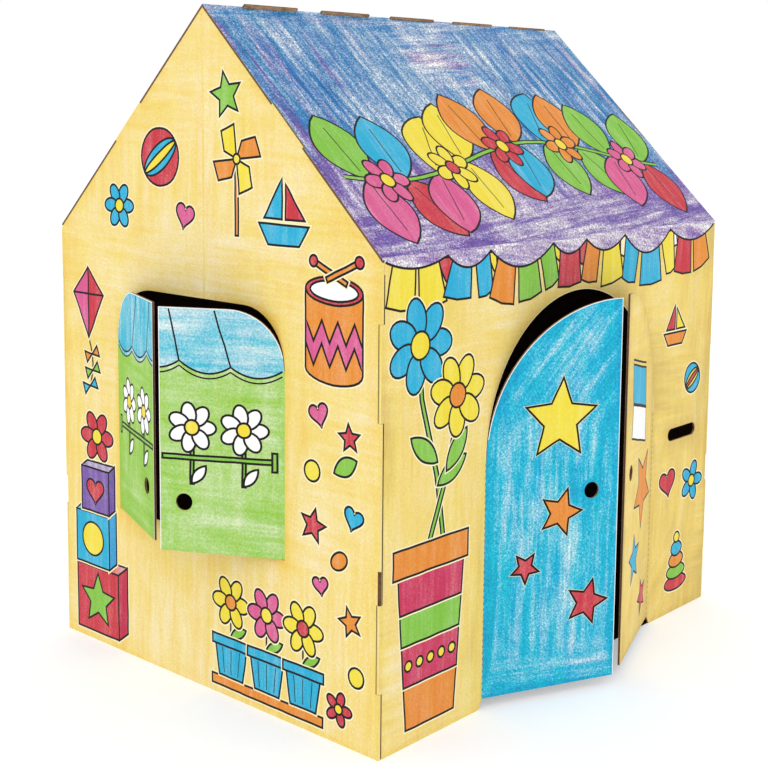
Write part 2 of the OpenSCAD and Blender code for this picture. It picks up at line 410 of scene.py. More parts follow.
# %% [markdown]
# ## Crayons in the box
# Each coloured field is described by a small record: its two pigments and how the wax lies. Fields that a
# child fills with firm strokes have a high load and little bite. The roof is loose and streaky, so its
# bite is high.


# %% Fill the box of crayons
@dataclass(frozen=True)
class Wax:
    """How one field is coloured in."""

    pigment: tuple
    second: tuple
    load: float = 0.92
    share: float = 0.1
    crossed: float = 0.0
    bite: float = 0.3
    turn: float = math.pi / 2


lemon = Wax(linear(240, 220, 58), linear(238, 208, 60))
tangerine = Wax(linear(230, 142, 44), linear(222, 124, 45))
cherry = Wax(linear(204, 52, 68), linear(194, 44, 74))
rose = Wax(linear(218, 92, 146), linear(205, 74, 130))
crimson = Wax(linear(204, 50, 92), linear(190, 42, 90))
grass = Wax(linear(134, 196, 66), linear(118, 184, 70))
sky = Wax(linear(34, 176, 214), linear(54, 162, 210))
violet = Wax(linear(124, 90, 168), linear(108, 78, 158))
bare = Wax(linear(249, 238, 194), linear(248, 234, 184), load=0.92, bite=0.2)
chalk = Wax(linear(250, 250, 248), linear(240, 240, 238), load=0.9, bite=0.1)
ink = Wax(linear(24, 20, 18), linear(30, 24, 22), load=1.6, bite=0.1)

wall_wax = Wax(linear(239, 211, 112), linear(238, 198, 82), load=0.79, share=0.14, bite=0.4)
# painted shade: the front's copy of the wall wax, with a duller, darker second colour
shaded_front_wax = replace(wall_wax, second=linear(219, 192, 110))
door_wax = Wax(linear(12, 182, 213), linear(26, 168, 211), load=0.83, share=0.2, bite=0.7)
shutter_wax = Wax(linear(150, 200, 70), linear(132, 192, 68), load=0.72, share=0.2, bite=0.46)
awning_wax = Wax(linear(30, 184, 210), linear(56, 174, 208), load=0.65, share=0.3, bite=0.55)
up_slope, along_eave = math.radians(84), math.radians(8)
roof_wax = Wax(linear(40, 125, 183), linear(118, 92, 168), load=0.8, share=0.16, bite=0.84, turn=up_slope)
eave_wax = Wax(linear(130, 94, 169), linear(106, 86, 169), load=0.65, share=0.2, bite=0.8, turn=along_eave)
print("wall crayon in linear values", [round(v, 3) for v in wall_wax.pigment])

# %% [markdown]
# ## Drawing tools
# The pictures are drawn flat, in metres, on the face where they belong. An outline is just a row of
# points. These helpers make circles, stars and lines with a width, and grow or shrink an outline, which
# turns one outline into a black line with a colour inside it. A little wobble keeps the lines from
# looking machine made, and its seed is set, because Blender's noise vectors are otherwise new in each
# run.

# %% Make the drawing tools
ink_width = 0.004
rim_width = 0.0024
wobble = 0.0009
wobble_scale = 38.0
wobble_seed = 5
noise.seed_set(wobble_seed)


def oval(at, width, height=None, turn=0.0, count=32):
    """An ellipse of half sizes width and height."""
    height = height or width
    angles = np.linspace(0, 2 * math.pi, count, endpoint=False)
    points = np.stack((width * np.cos(angles), height * np.sin(angles)), 1)
    return moved(points, at, turn)


def moved(points, at, turn=0.0):
    """Points turned round the origin and then moved to a place."""
    c, s = math.cos(turn), math.sin(turn)
    return np.asarray(points, float) @ np.array(((c, s), (-s, c))) + np.asarray(at, float)


def star(at, radius, turn=0.0, waist=0.47, count=5):
    angles = math.pi / 2 + np.arange(2 * count) * math.pi / count
    reach = radius * np.where(np.arange(2 * count) % 2, waist, 1.0)
    return moved(np.stack((reach * np.cos(angles), reach * np.sin(angles)), 1), at, turn)


def heart(at, size, turn=0.0):
    t = np.linspace(0, 2 * math.pi, 32, endpoint=False)
    width = 16 * np.sin(t) ** 3
    height = 13 * np.cos(t) - 5 * np.cos(2 * t) - 2 * np.cos(3 * t) - np.cos(4 * t)
    return moved(np.stack((width, height), 1) * size / 32, at, turn)


def leaf_shape(at, length, width, turn=0.0):
    """A leaf that starts at a place and points along +u before it is turned."""
    t = np.linspace(0, 1, 13)
    side = np.stack((t * length, width / 2 * np.sin(math.pi * t) ** 0.8), 1)
    return moved(np.concatenate((side, side[-2:0:-1] * (1, -1))), at, turn)


def counterclockwise(points):
    after = np.roll(points, -1, 0)
    area = (points[:, 0] * after[:, 1] - points[:, 1] * after[:, 0]).sum()
    return points if area > 0 else points[::-1]


def grown(points, distance):
    """A closed outline moved outwards all round, with sharp corners cut short."""
    points = counterclockwise(points)
    ahead = np.roll(points, -1, 0) - points
    ahead /= np.maximum(np.linalg.norm(ahead, axis=1), 1e-9)[:, None]
    outward = np.stack((ahead[:, 1], -ahead[:, 0]), 1)
    mitre = outward + np.roll(outward, 1, 0)
    mitre /= np.maximum((mitre * mitre).sum(1) / 2, 0.35)[:, None]
    return points + distance * mitre


def band(points, width):
    """The outline of an open line of a given width."""
    points = np.asarray(points, float)
    ahead = np.gradient(points, axis=0)
    ahead /= np.linalg.norm(ahead, axis=1)[:, None]
    side = np.stack((-ahead[:, 1], ahead[:, 0]), 1) * width / 2
    return np.concatenate((points + side, (points - side)[::-1]))


def sketched(points, closed=True, longest=0.012):
    """The outline with its long edges divided and a hand's small wobble in it."""
    points = np.asarray(points, float)
    ends = np.roll(points, -1, 0) if closed else points[1:]
    dense = []
    for start, end in zip(points, ends):
        steps = max(1, round(float(np.linalg.norm(end - start)) / longest))
        dense += [start + (end - start) * i / steps for i in range(steps)]
    if not closed:
        dense.append(points[-1])
    shaken = [noise.noise_vector(Vector((u * wobble_scale, v * wobble_scale, 0.5))) for u, v in dense]
    return np.array(dense) + wobble * np.array([(n.x, n.y) for n in shaken])


print("a star has", len(star((0, 0), 1.0)), "points, a leaf", len(leaf_shape((0, 0), 1.0, 0.5)))

# %% [markdown]
# ## Pages
# A page is one printed face. It has a ground, which is how the whole face is coloured in, and layers that
# are drawn over it in order. `lay` may vary the ground from place to place, such as firmer strokes along
# the edges, and `white_edges` picks the cut edges along which a thin strip of the white liner was left
# bare.


# %% Define a page
class Page:
    def __init__(self, ground, lay=None, white_edges=None):
        self.ground = ground
        self.lay = lay
        self.white_edges = white_edges
        self.layers = []

    def area(self, outline, wax, cuts=None):
        """A field of colour. cuts are the lines round it, where they aren't its whole outline."""
        self.layers.append((np.asarray(outline), wax, [outline] if cuts is None else cuts, cuts is None))

    def line(self, points, width=ink_width):
        self.area(band(sketched(points, closed=False), width), ink)

    def figure(self, *shapes, rim=rim_width):
        """Shapes that belong together: a bare rim round them all, and then each with its drawn line."""
        drawn = [(sketched(outline), wax) for outline, wax in shapes]
        for outline, _ in drawn:
            if rim:
                self.area(grown(outline, ink_width / 2 + rim), bare)
        for outline, wax in drawn:
            self.area(grown(outline, ink_width / 2), ink)
            self.area(grown(outline, -ink_width / 2), wax)


def near(distance, reach):
    """1 at an edge, falling to 0 away from it."""
    return np.exp(-distance / reach)


def mound(values, at, reach, power=2):
    """1 at a place, falling to 0 on both sides of it."""
    return np.exp(-(((values - at) / reach) ** power))


def below(values, level, blend):
    """1 below a level and 0 above it, with a soft change."""
    return 1.0 / (1 + np.exp((values - level) / blend))


def clouds(places, scale, seed):
    """Soft patches between -1 and 1."""
    return np.array([noise.noise(Vector((u * scale, v * scale, seed))) for u, v in places])


print("a new page has", len(Page(bare).layers), "layers")

# %% [markdown]
# ## Ornaments that run along the eaves
# Purple scallops hang over the top of the long walls, and below them a row of little flags. Both repeat,
# so they are loops. The scallops have uneven widths in the drawing, and the flags fan out a little.

# %% Draw scallops and flags
scallop_cusps = (-0.513, -0.361, -0.247, -0.064, 0.041, 0.172, 0.339, 0.513)
scallop_lows = (0.794, 0.785, 0.774, 0.786, 0.784, 0.768, 0.782)
scallop_top = 0.809
flag_top = 0.806
flag_bow = 0.004
flag_rows = (
    (cherry, -0.39, (-0.366, 0.768), (-0.356, 0.766), -0.347),
    (lemon, -0.258, (-0.238, 0.774), (-0.228, 0.776), -0.232),
    (lemon, -0.075, (-0.052, 0.78), (-0.04, 0.78), -0.046),
    (cherry, 0.02, (0.021, 0.768), (0.034, 0.766), 0.056),
    (bare, 0.156, (0.157, 0.772), (0.178, 0.77), 0.19),
    (chalk, 0.325, (0.345, 0.78), (0.368, 0.776), 0.362),
    (lemon, -0.496, (-0.511, 0.738), (-0.443, 0.728), -0.44),
    (lemon, -0.434, (-0.431, 0.728), (-0.362, 0.735), -0.385),
    (sky, -0.346, (-0.371, 0.742), (-0.299, 0.733), -0.298),
    (sky, -0.29, (-0.277, 0.732), (-0.238, 0.741), -0.25),
    (tangerine, -0.223, (-0.248, 0.728), (-0.18, 0.71), -0.174),
    (grass, -0.169, (-0.164, 0.712), (-0.098, 0.725), -0.117),
    (grass, -0.108, (-0.085, 0.726), (-0.045, 0.744), -0.062),
    (cherry, -0.041, (-0.047, 0.728), (0.025, 0.731), 0.016),
    (tangerine, 0.043, (0.026, 0.735), (0.078, 0.727), 0.089),
    (lemon, 0.1, (0.093, 0.716), (0.17, 0.729), 0.148),
    (sky, 0.176, (0.166, 0.725), (0.211, 0.713), 0.229),
    (sky, 0.237, (0.23, 0.706), (0.31, 0.709), 0.293),
    (lemon, 0.3, (0.329, 0.72), (0.36, 0.729), 0.352),
    (cherry, 0.373, (0.359, 0.722), (0.425, 0.715), 0.422),
    (tangerine, 0.429, (0.437, 0.716), (0.499, 0.739), 0.476),
)


def scalloped(cusps, dips, count):
    """A line that hangs down between its cusps, each dip with a number of points."""
    t = np.linspace(0, 1, count, endpoint=False)[:, None]
    cusps = np.array(cusps, float)
    hangs = [a + (b - a) * t - (0, 4 * dip) * t * (1 - t) for a, b, dip in zip(cusps, cusps[1:], dips)]
    return np.concatenate((*hangs, cusps[-1:]))


def scallops(page):
    """A purple field above a scalloped line, with ink along the line."""
    dips = [scallop_top - low for low in scallop_lows]
    edge = scalloped([(u, scallop_top) for u in scallop_cusps], dips, 14)
    beyond, above = 0.6, 2.0
    field = [(-beyond, scallop_top), *edge, (beyond, scallop_top), (beyond, above), (-beyond, above)]
    page.area(np.array(field), eave_wax, cuts=[edge])
    page.area(band(edge, ink_width), ink)


def flags(page):
    """Each flag is given by where its top begins, the two corners of its foot and where its top ends."""
    for wax, start, left_foot, right_foot, end in flag_rows:
        bow = (np.array(left_foot) + right_foot) / 2 - (0, flag_bow)
        page.figure(([(start, flag_top), left_foot, tuple(bow), right_foot, (end, flag_top)], wax), rim=0)


def hems(page):
    """What hangs at the top of a long wall. The small flags lie behind the large ones."""
    flags(page)
    scallops(page)


print(len(scallop_lows), "scallops and", len(flag_rows), "flags")

# %% [markdown]
# ## Small figures
# The walls are scattered with simple toys and flowers. Each is a few outlines in bright colours, drawn by
# a function so that it can be used again at another place, size and colour.


# %% Define the figures
def flower(page, at, radius, petal, eye, count=6, turn=0.0, rim=rim_width):
    at = np.array(at)
    shapes = []
    for i in range(count):
        angle = turn + 2 * math.pi * i / count
        place = at + 0.58 * radius * np.array((math.cos(angle), math.sin(angle)))
        shapes.append((oval(place, 0.44 * radius, 0.3 * radius, angle, 20), petal))
    page.figure(*shapes, (oval(at, 0.3 * radius, count=20), eye), rim=rim)


def ball(page, at, radius, first, second, third):
    page.figure((oval(at, radius), first))
    broad, slim = (oval(at, 0.98 * radius, share * radius, math.radians(35)) for share in (0.42, 0.16))
    page.figure((broad, second), (slim, third), rim=0)


def pinwheel(page, at, size, colours, stick):
    foot = np.array(at) - (0, 2.1 * size)
    page.figure((band([at, foot], 0.13 * size), stick))
    blades = []
    for i, wax in enumerate(colours):
        blade = [(0, 0), (0.95 * size, 0.1 * size), (0.75 * size, 0.62 * size), (0.2 * size, 0.5 * size)]
        blades.append((moved(blade, at, i * 2 * math.pi / len(colours)), wax))
    page.figure(*blades, (oval(at, 0.14 * size, count=14), lemon))


def kite(page, at, size, first, second, bows):
    at = np.array(at)
    top, side, foot = at + (0, size), np.array((0.68 * size, 0.25 * size)), at - (0, size)
    left, right = at + side * (-1, 1), at + side
    tail = [foot + (0.16 * size * math.sin(3.2 * t), -1.5 * size * t) for t in np.linspace(0, 1, 14)]
    page.line(tail)
    page.figure(([top, left, foot, right], first), ([top, right, foot], second))
    page.line([left, right])
    for i, wax in enumerate(bows):
        knot = np.array(tail[4 * i + 4])
        wing = [(0, 0), (0.3 * size, 0.16 * size), (0.3 * size, -0.16 * size)]
        page.figure(*((moved(wing, knot, angle), wax) for angle in (0.4, 3.5)), rim=0.002)


def boat(page, at, size, hull, sail, flag):
    at = np.array(at)
    page.figure(
        (at + size * np.array(((-0.95, -0.3), (0.95, -0.3), (0.6, -0.85), (-0.6, -0.85))), hull),
        (at + size * np.array(((-0.05, -0.15), (-0.05, 0.95), (-0.75, -0.15))), sail),
        (at + size * np.array(((0.08, -0.15), (0.08, 0.8), (0.8, -0.15))), flag),
    )


def toy_block(page, at, size, face, mark, wax):
    """A square block with a mark on it, seen from the front and a little from above."""
    at = np.array(at)
    corner = at - size / 2
    slant = np.array((0.22 * size, 0.16 * size))
    lid = [corner + (0, size), corner + (0, size) + slant, corner + size + slant, corner + size]
    side = [corner + (size, 0), corner + (size, 0) + slant, corner + size + slant, corner + size]
    page.figure(
        ([corner, corner + (size, 0), corner + size, corner + (0, size)], face),
        (lid, replace(face, load=face.load * 0.7)),
        (side, replace(face, pigment=face.second)),
    )
    page.figure((mark(at, 0.32 * size), wax), rim=0)


def drum(page, at, width, height, body, zigzag, rim):
    at = np.array(at)
    half = width / 2
    low, high = at - (0, height / 2), at + (0, height / 2)
    t = np.linspace(math.pi, 2 * math.pi, 13)
    foot = [low + (half * math.cos(a), 0.18 * width * math.sin(a)) for a in t]
    page.figure(([*foot, high + (half, 0), high - (half, 0)], body))
    teeth = 7
    upper = [low + (half * (2 * i / teeth - 1), height * (0.34 if i % 2 else 0.62)) for i in range(teeth + 1)]
    lower = [p - (0, 0.3 * height) for p in upper[::-1]]
    page.figure(([*upper, *lower], zigzag), rim=0)
    page.figure((oval(high, half, 0.18 * width), rim), (oval(high, 0.84 * half, 0.13 * width), chalk), rim=0)


def flowerpot(page, at, size, pot, petal, eye):
    """A pot with one flower over it."""
    at = np.array(at)
    top = at + (0, 1.55 * size)
    page.line([at + (0, 0.75 * size), at + (0, 1.1 * size), top])
    page.figure((leaf_shape(at + (0, 0.85 * size), 0.5 * size, 0.2 * size, 0.5), grass))
    flower(page, top, 0.52 * size, petal, eye)
    body = at + size * np.array(((-0.34, 0.0), (0.34, 0.0), (0.46, 0.68), (-0.46, 0.68)))
    lip = at + size * np.array(((-0.54, 0.62), (0.54, 0.62), (0.54, 0.82), (-0.54, 0.82)))
    page.figure((body, pot), (lip, pot))
    for x in (-0.2, 0.0, 0.2):
        page.line([at + size * np.array((x, 0.06)), at + size * np.array((1.25 * x, 0.58))], 0.0018)


def ring_tower(page, at, size, colours):
    """A peg with rings that get smaller towards the top."""
    at = np.array(at)
    shapes = []
    for i, wax in enumerate(colours):
        shapes.append((oval(at + (0, 0.42 * size * i), size * (0.75 - 0.13 * i), 0.27 * size), wax))
    page.figure(*shapes, (oval(at + (0, 0.42 * size * len(colours)), 0.2 * size, count=16), lemon))


trial_page = Page(bare)
flower(trial_page, (0, 0), 0.05, rose, lemon)
print("one flower takes", len(trial_page.layers), "layers")

# %% [markdown]
# ## The front wall
# The yellow wall is filled with short strokes, firmer along the edges. Left of the door stands a tall
# planter with two big flowers, and small figures stand right of it. The walls' patches of firmer and
# looser wax come from the same noise everywhere, so `wall_lay` serves every wall, and the front only adds
# to it. What it adds is painted shade: firmer wax and a duller second colour, which darken the front, most
# towards its right.

# %% Draw the front of the house
tab_levels = (0.111, 0.259, 0.555, 0.712)
arch_foot, arch_top, arch_reach = 0.45, 0.725, 0.3
crease_reach = 0.004
planter_at = np.array((-0.392, 0.028))
planter_tiers = ((0.0, 0.075, tangerine), (0.075, 0.145, crimson), (0.145, 0.2, grass), (0.2, 0.27, crimson))
planter_lip = ((-0.096, 0.262), (0.096, 0.262), (0.096, 0.31), (-0.096, 0.31))
planter_foot, planter_flare = 0.062, 0.085
stems = (
    ((0.03, 0.3), (0.01, 0.42), (-0.03, 0.55), (-0.035, 0.6)),
    ((-0.01, 0.3), (0.03, 0.4), (0.06, 0.5)),
)
stem_leaves = (((0.012, 0.4), 0.5), ((0.012, 0.44), 2.5), ((0.035, 0.42), 0.9))


def wall_lay(places, edge):
    """Firmer strokes near the edges, and patches of firmer and looser ones."""
    patch = clouds(places, scale=7.0, seed=1.7) + 0.6 * clouds(places, scale=19.0, seed=4.4)
    load = wall_wax.load + 0.13 * near(edge, reach=0.014) + 0.1 * patch
    share = wall_wax.share + 0.3 * near(edge, reach=0.02) + 0.24 * patch
    crossed = np.clip(0.3 + 1.8 * clouds(places, scale=4.0, seed=6.1), -0.8, 0.9)
    return np.stack((load, share, crossed), 1)


def shaded_front_lay(places, edge):
    """Painted shade: the front is filled in more firmly than the gable, and more firmly and duller towards
    its right.
    """
    lay = wall_lay(places, edge)
    # painted shade: firmer wax and more of the duller colour towards the right
    lay[:, 0] += 0.02 + 0.17 * np.clip(places[:, 0] + 0.4, 0, 1)
    lay[:, 1] += 0.6 * np.clip(places[:, 0] + 0.1, 0, 0.6)
    return lay


def doorway_edges(starts, ends):
    """The cut edges of the arch in the wall."""
    at = (starts + ends) / 2
    return (at[:, 1] > arch_foot) & (at[:, 1] < arch_top) & (np.abs(at[:, 0]) < arch_reach)


def seam_shadows(page, at, width, spans):
    """Short upright dark lines, painted shadow in the gap where another sheet's edge meets the face."""
    for low, high in spans:
        page.area(band([(at, low), (at, high)], width), ink)


front_page = Page(shaded_front_wax, shaded_front_lay, doorway_edges)
hems(front_page)
between_tabs = ((0.002, tab_levels[0]), (tab_levels[1], tab_levels[2]), (tab_levels[3], 0.79))
# painted shadow in the corner gaps between the tabs
seam_shadows(front_page, board + 0.0019 - half_length, 0.0022, between_tabs)

for stem in stems:
    front_page.figure((band(planter_at + np.array(stem), 0.009), grass))
for place, angle in stem_leaves:
    front_page.figure((leaf_shape(planter_at + place, 0.085, 0.034, angle), grass))
flower(front_page, planter_at + (-0.035, 0.64), 0.078, sky, lemon, 7)
flower(front_page, planter_at + (0.062, 0.545), 0.07, lemon, tangerine, 7, 0.2)
for low, high, wax in planter_tiers:
    foot, head = (planter_foot + planter_flare * height for height in (low, high))
    front_page.figure((planter_at + np.array(((-foot, low), (foot, low), (head, high), (-head, high))), wax))
front_page.figure((planter_at + np.array(planter_lip), tangerine))
for i in range(5):
    front_page.figure((oval(planter_at + (-0.056 + 0.028 * i, 0.11), 0.009, count=14), lemon), rim=0)

boat(front_page, (0.372, 0.61), 0.046, tangerine, cherry, lemon)
ball(front_page, (0.447, 0.492), 0.031, sky, lemon, cherry)
front_page.figure((heart((0.36, 0.285), 0.062, 0.15), cherry))
flower(front_page, (0.458, 0.27), 0.042, sky, lemon, 5)
ring_tower(front_page, (0.405, 0.062), 0.058, (cherry, grass, tangerine, sky))
print("front wall with", len(front_page.layers), "layers")

# %% [markdown]
# ## The doors
# Stars are drawn on both leaves of the door, the left one blue and the right one yellow with a blank
# notice on it. A page of a leaf is measured from its crease, so places on the right leaf lie below zero.

# %% Draw the doors
level_strokes_at, level_blend = 0.1, 0.04
slanted_strokes_at, slanted_blend = 0.46, 0.1
loose_foot_at, loose_foot_reach = 0.062, 0.02
left_door_free_side = 0.26
left_door_stars = (
    ((0.148, 0.505), 0.075, -0.05, lemon),
    ((0.152, 0.337), 0.044, -0.32, tangerine),
    ((0.082, 0.244), 0.029, 0.628, cherry),
    ((0.21, 0.165), 0.043, -0.3, cherry),
)
right_door_stars = (
    ((-0.096, 0.313), 0.082, 0.576, tangerine),
    ((-0.16, 0.187), 0.05, 0.1, sky),
    ((-0.072, 0.086), 0.038, 0.3, cherry),
)
notice = (
    ([(-0.209, 0.5), (-0.08, 0.47), (-0.076, 0.402), (-0.215, 0.436)], chalk),
    ([(-0.217, 0.578), (-0.089, 0.55), (-0.08, 0.472), (-0.209, 0.502)], sky),
)


def leaf_edges(foot, free_side):
    """Picks the cut edges of a leaf: those above a level, and its free side."""

    def picked(starts, ends):
        at = np.abs(starts + ends) / 2
        return (at[:, 0] > crease_reach) & (at[:, 1] > foot) | (at[:, 0] > free_side)

    return picked


def door_lay(places, edge):
    """Firm edges, level strokes across the foot and slanted ones under the arch."""
    v = places[:, 1]
    load = door_wax.load + 0.26 * near(edge, reach=0.026) + 0.12 * clouds(places, scale=12.0, seed=3.3)
    load -= 0.12 * mound(v, loose_foot_at, loose_foot_reach)
    crossed = np.clip((level_strokes_at - v) / level_blend, 0, 1)
    crossed -= np.clip((v - slanted_strokes_at) / slanted_blend, 0, 0.9)
    return np.stack((load, np.full(len(load), door_wax.share), crossed), 1)


def right_door_lay(places, edge):
    """As on the right part of the front wall, with the same painted shade."""
    return shaded_front_lay(places + (0.5, 0.0), edge)


def stars(page, rows, rim):
    for place, radius, turn, wax in rows:
        page.figure((star(place, radius, turn), wax), rim=rim)


left_door_page = Page(door_wax, door_lay, leaf_edges(arch_foot, left_door_free_side))
stars(left_door_page, left_door_stars, 0.0007)
right_door_page = Page(shaded_front_wax, right_door_lay)
stars(right_door_page, right_door_stars, 0.0012)
for shape in notice:
    right_door_page.figure(shape, rim=0)
right_door_page.line([(-0.219, 0.587), (-0.088, 0.559)])
print("doors with", len(left_door_page.layers), "and", len(right_door_page.layers), "layers")

# %% [markdown]
# ## The gable with the window
# The gable carries toys and flowers round the window. Most stand alone, so each is one call of a figure's
# function with its place, size and colours.

# %% Draw the gable
window_head = 0.79


def gable_lay(places, edge):
    """As on the walls, but looser at the middle score line, and with level strokes over the window."""
    lay = wall_lay(places, edge)
    lay[:, 0] -= 0.14 * mound(places[:, 0], at=0.0, reach=0.02)
    lay[:, 2] = np.clip(lay[:, 2] + mound(places[:, 1], window_head, reach=0.07), 0, 1)
    return lay


gable_page = Page(wall_wax, gable_lay)
beside_tabs = ((tab_levels[0], tab_levels[1]), (tab_levels[2], tab_levels[3]))
# painted shadow in the corner gaps beside the tabs
seam_shadows(gable_page, half_depth - board - 0.0022, 0.0016, beside_tabs)
kite(gable_page, (-0.338, 0.67), 0.068, rose, cherry, (tangerine, grass, sky))
toy_block(gable_page, (-0.322, 0.082), 0.13, cherry, lambda at, s: star(at, 1.3 * s), grass)
toy_block(gable_page, (-0.336, 0.203), 0.104, sky, lambda at, s: oval(at, s), lemon)
toy_block(gable_page, (-0.326, 0.302), 0.086, violet, lambda at, s: heart(at, 2 * s), cherry)
flower(gable_page, (-0.318, 0.41), 0.05, cherry, lemon, 6)

gable_page.figure((star((0.06, 1.066), 0.04, 0.2), grass))
ball(gable_page, (-0.118, 0.955), 0.052, cherry, sky, lemon)
pinwheel(gable_page, (0.086, 0.958), 0.062, (tangerine, lemon, tangerine, lemon), tangerine)
boat(gable_page, (0.2, 0.872), 0.062, sky, sky, cherry)
flower(gable_page, (-0.238, 0.862), 0.042, sky, lemon, 6)
gable_page.figure((heart((-0.05, 0.855), 0.05, -0.2), rose))

drum(gable_page, (0.316, 0.69), 0.128, 0.13, tangerine, rose, cherry)
for drumstick in ([(0.27, 0.8), (0.345, 0.768)], [(0.372, 0.805), (0.3, 0.772)]):
    gable_page.figure((band(drumstick, 0.009), tangerine), (oval(drumstick[0], 0.0095, count=14), cherry))
small_figures = (
    (heart((0.283, 0.55), 0.044, 0.3), rose),
    (star((0.352, 0.52), 0.024, 0.1), cherry),
    (oval((0.268, 0.452), 0.018, count=18), lemon),
    (leaf_shape((0.318, 0.458), 0.058, 0.03, 0.5), grass),
    (heart((0.362, 0.39), 0.042, -0.25), sky),
    (star((0.27, 0.36), 0.03, -0.2), cherry),
    (oval((0.33, 0.312), 0.02, 0.014, 0.6, 20), tangerine),
    (heart((0.288, 0.262), 0.036, 0.2), rose),
    (star((0.356, 0.215), 0.026, 0.3), tangerine),
    (oval((0.37, 0.125), 0.017, count=18), lemon),
)
for outline, wax in small_figures:
    gable_page.figure((outline, wax))
flower(gable_page, (0.33, 0.06), 0.03, cherry, lemon, 5)

gable_page.figure(([(0.016, 0.016), (0.294, 0.016), (0.294, 0.034), (0.016, 0.034)], tangerine))
for x, petal, eye in ((0.066, lemon, tangerine), (0.158, rose, lemon), (0.247, lemon, cherry)):
    flowerpot(gable_page, (x, 0.036), 0.09, sky, petal, eye)
print("gable with", len(gable_page.layers), "layers")

# %% [markdown]
# ## The shutters
# The shutters are green, with a striped blue awning drawn over them, a rail and white flowers on it. One
# function draws either shutter: the second is the mirror image.

# %% Draw the shutters
shutter_width = 0.2228
shutter_shoulder = 0.612
crease_margin = 0.004
awning_cusps = ((0.0, 0.611), (0.095, 0.611), (0.187, 0.619), (0.275, 0.625))
awning_dip = 0.0165
awning_stripes = (((0.095, 0.611), (0.124, 0.7065)), ((0.187, 0.619), (0.205, 0.7065)))
awning_field = ((0.3, 0.6), (0.3, 1.0), (-0.1, 1.0), (-0.1, 0.6))
trim_drop = np.array((0, 0.0085))
rail_level = 0.452
rail = ((0.02, rail_level), (shutter_width - crease_margin, rail_level))
rail_end = [
    (u, rail_level + v) for u, v in ((0.013, -0.016), (0.022, -0.016), (0.022, 0.016), (0.013, 0.016))
]
daisy_places = (0.072, 0.165)


def shutter_lay(places, edge):
    """Firmer strokes along the edges, and strokes both ways."""
    load = shutter_wax.load + 0.12 * near(edge, reach=0.02) + 0.1 * clouds(places, scale=14.0, seed=5.2)
    crossed = np.clip(0.5 + 1.8 * clouds(places, scale=8.0, seed=2.9), 0, 0.9)
    return np.stack((load, np.full(len(load), shutter_wax.share), crossed), 1)


def awning_edge():
    """The scalloped foot of the awning, from the crease to the free edge."""
    edge = scalloped(awning_cusps, [awning_dip] * (len(awning_cusps) - 1), 12)
    inner = edge[(edge[:, 0] > crease_margin + 0.002) & (edge[:, 0] < shutter_width - 0.003), 0]
    u = np.concatenate(([crease_margin], inner, [shutter_width]))
    return np.stack((u, np.interp(u, edge[:, 0], edge[:, 1])), 1)


def shutter_page(side, trim, firmer, level):
    """A shutter drawn from its crease at 0 towards its free edge, which lies at side times its width."""
    flip = np.array((side, 1.0))

    def lay(places, edge):
        return shutter_lay(places, edge) + (firmer, 0, 0.4 * level)

    page = Page(shutter_wax, lay, leaf_edges(shutter_shoulder, shutter_width - crease_margin))
    top_wax = replace(awning_wax, load=awning_wax.load + firmer, crossed=level)
    edge = awning_edge() * flip
    beyond = np.array(awning_field) * flip
    page.area(np.concatenate((edge - trim_drop, beyond)), trim, cuts=[edge - trim_drop])
    page.area(np.concatenate((edge, beyond)), top_wax, cuts=[edge])
    page.area(band(edge, 0.0034), ink)
    page.area(band(edge - trim_drop, 0.0028), ink)
    for stripe in awning_stripes:
        page.line(np.array(stripe) * flip, 0.0032)

    for u in daisy_places:
        stem = np.array(((u, rail_level - 0.046), (u, rail_level + 0.045))) * flip
        leaf_at = np.array((u, rail_level - 0.045)) * flip
        page.figure((band(stem, 0.006), grass), rim=0)
        page.figure((leaf_shape(leaf_at, 0.04, 0.018, 0.9), chalk), rim=0)
        flower(page, np.array((u, rail_level + 0.052)) * flip, 0.043, chalk, lemon, 7, rim=0)
    page.figure((band(np.array(rail) * flip, 0.008), grass), rim=0)
    page.figure((np.array(rail_end) * flip, grass), rim=0)
    return page


left_shutter_page = shutter_page(1, awning_wax, 0.18, 0.0)
right_shutter_page = shutter_page(-1, shutter_wax, 0.0, 0.9)
print("shutters with", len(left_shutter_page.layers), "layers each")

# %% [markdown]
# ## The roof
# The roof is blue, with long strokes up the slope and a few level ones along the ridge. Purple takes over
# towards the eave. A garland of broad coloured leaves, with some flowers, swings across the front slope.

# %% Draw the roof
slope_length = 0.5835
ridge_reach = 0.03
purple_top = 0.16
level_eave_top = 0.1
garland_level = 0.2
garland_swing = 0.04
leaf_length = 0.15
leaf_width = 0.112
upper_leaves = (grass, sky, lemon, lemon, tangerine, tangerine, sky, tangerine, grass, grass)
lower_leaves = (rose, cherry, rose, lemon, cherry, sky, grass, grass, rose, cherry)


def roof_lay(places, edge, level_patch=1.0):
    """Strokes up the slope, level ones at the ridge, in a patch and at the eave, where purple takes over."""
    u, v = places[:, 0], places[:, 1]
    patch = clouds(places, scale=6.0, seed=8.4)
    ridge = near(slope_length - v, ridge_reach)
    faded = level_patch * mound(u, at=0.01, reach=0.1, power=4) * mound(v, at=0.46, reach=0.07, power=4)
    purple = below(v - 0.06 * patch + 0.12 * u, purple_top, blend=0.02)
    left_edge = near(u + half_length, reach=0.09)
    thin_middle = mound(u, at=-0.03, reach=0.24)
    load = roof_wax.load + 0.1 * patch - 0.03 * ridge - 0.03 * faded - 0.08 * thin_middle
    load += 0.12 * np.clip(u - 0.1, 0, 0.5) + purple * (0.07 * left_edge - 0.01)
    share = np.clip(roof_wax.share + 0.16 * patch + 0.4 * faded + 0.2 * left_edge + purple, 0, 1.1)
    crossed = np.clip(1.4 * ridge + 0.95 * faded + below(v, level_eave_top, blend=0.015), 0, 1)
    return np.stack((load, share, crossed), 1)


